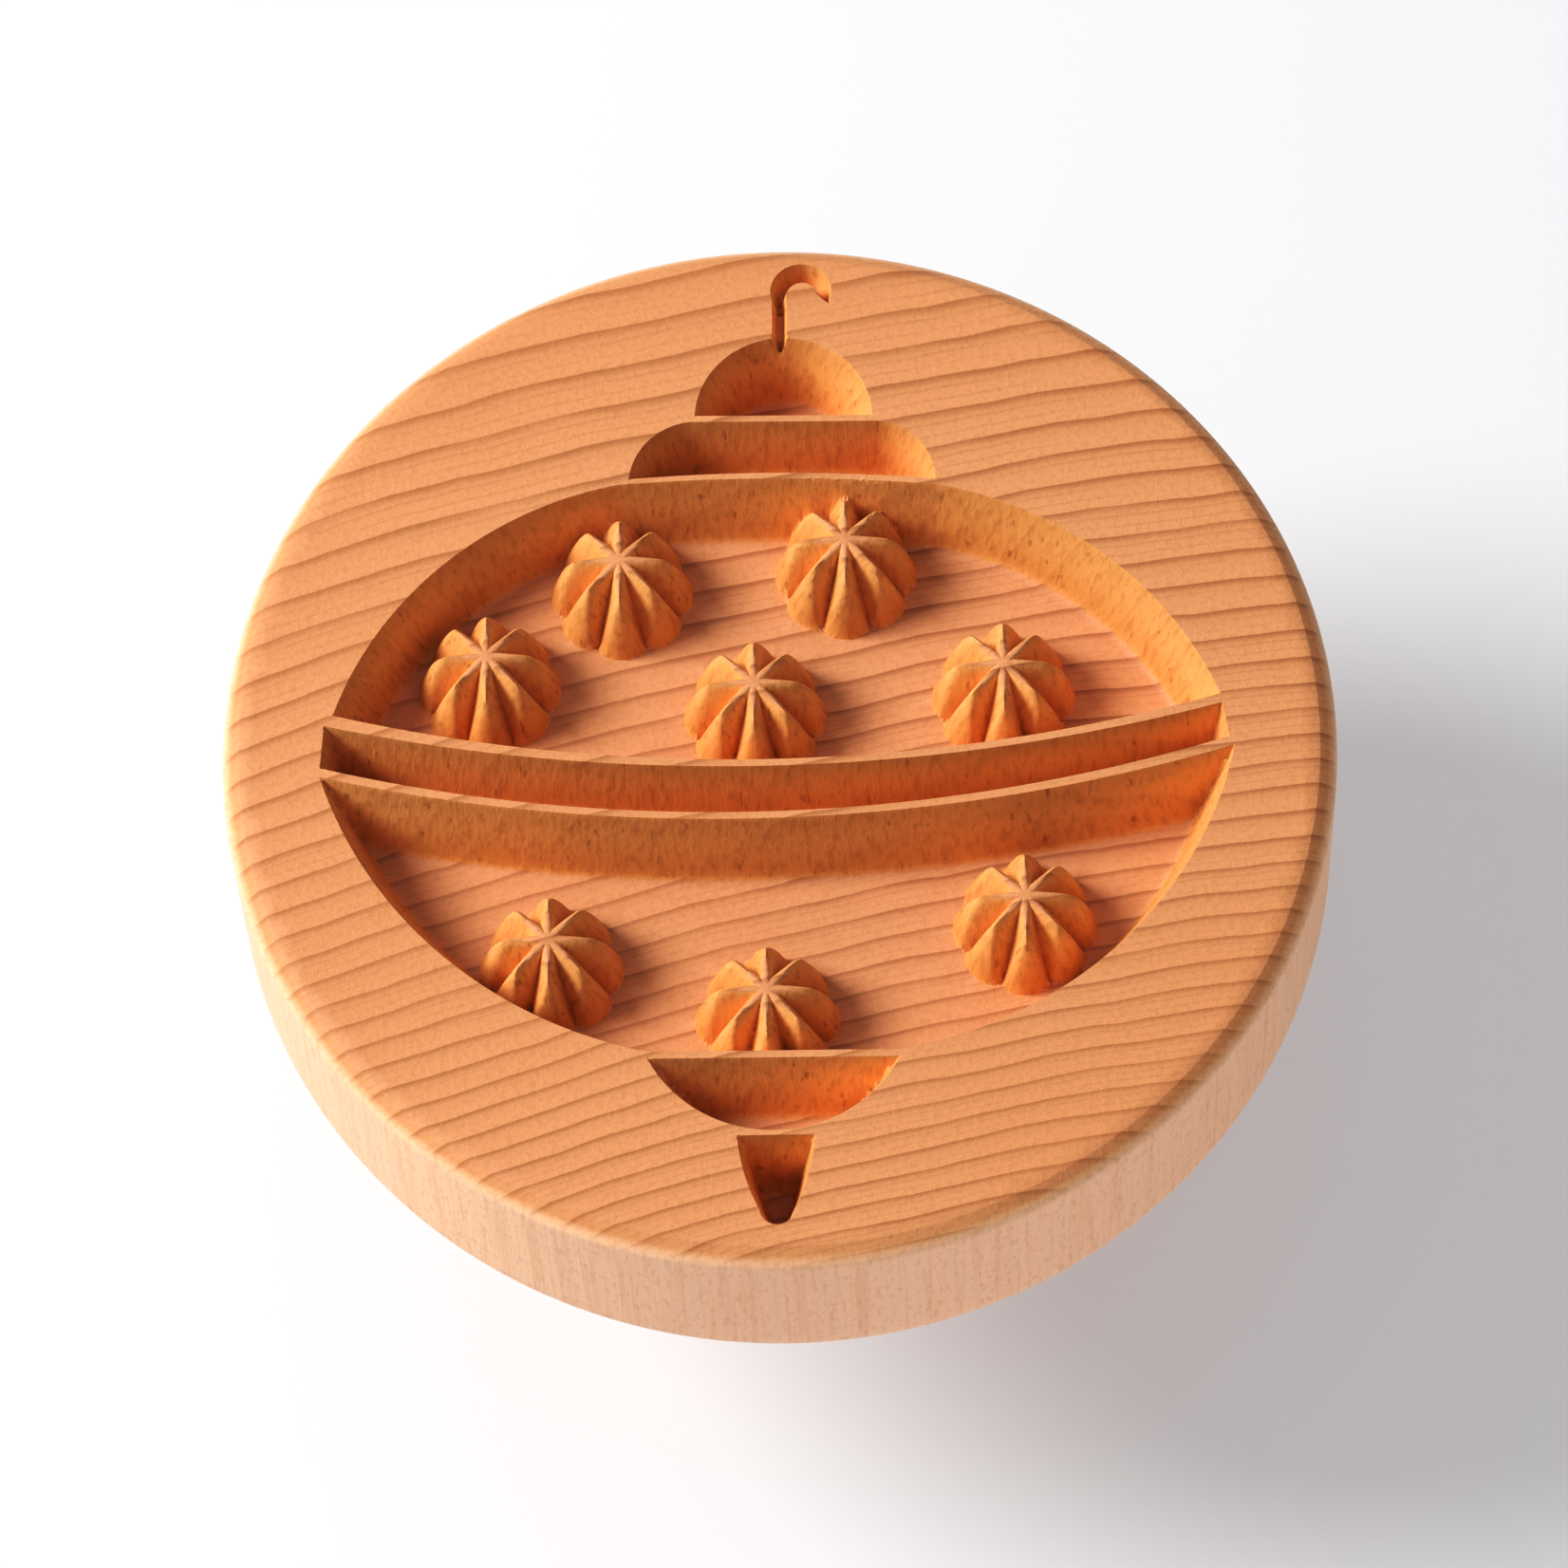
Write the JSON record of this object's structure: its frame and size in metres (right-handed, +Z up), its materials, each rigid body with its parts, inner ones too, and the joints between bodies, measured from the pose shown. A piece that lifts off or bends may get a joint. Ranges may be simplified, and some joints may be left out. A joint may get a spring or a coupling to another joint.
{
  "type": "butter mold",
  "caption": "Round wooden butter mold carved with a Christmas-tree ball, on a turned handle that unscrews from its back.",
  "frame": {"origin": "middle of the handle's flat foot, where the mold stands with its carved face up", "axes": "+Z up along the handle's axis to the carved face, +Y from the ornament's spike to its hook, +X to the right of the ornament"},
  "size_m": [0.08, 0.08, 0.055],
  "materials": {
    "plate_wood": "hand-oiled beech, carved and lightly sanded",
    "handle_wood": "hand-oiled beech, turned and sanded smooth",
    "insert_brass": "machined brass, satin",
    "washer_steel": "stamped zinc-plated steel, satin",
    "stud_steel": "rolled thread, zinc-plated, satin"
  },
  "bodies": {
    "handle_body": {"handle": "handle_wood", "hanger_bolt": "stud_steel"},
    "washer_body": {"washer": "washer_steel"},
    "plate_body": {"mold_plate": "plate_wood", "threaded_insert": "insert_brass"}
  },
  "joints": [
    {"name": "unscrew_turn", "type": "hinge", "parent": "handle_body", "child": "washer_body", "pos_m": [0, 0, 0.038], "axis": [0, 0, 1], "range_deg": [0, 2880]},
    {"name": "unscrew_rise", "type": "slide", "parent": "washer_body", "child": "plate_body", "axis": [0, 0, 1], "range_m": [0, 0.0081]}
  ],
  "couplings": [
    {"joint": "unscrew_rise", "follows": "unscrew_turn", "m_per_rad": 0.00015915}
  ]
}
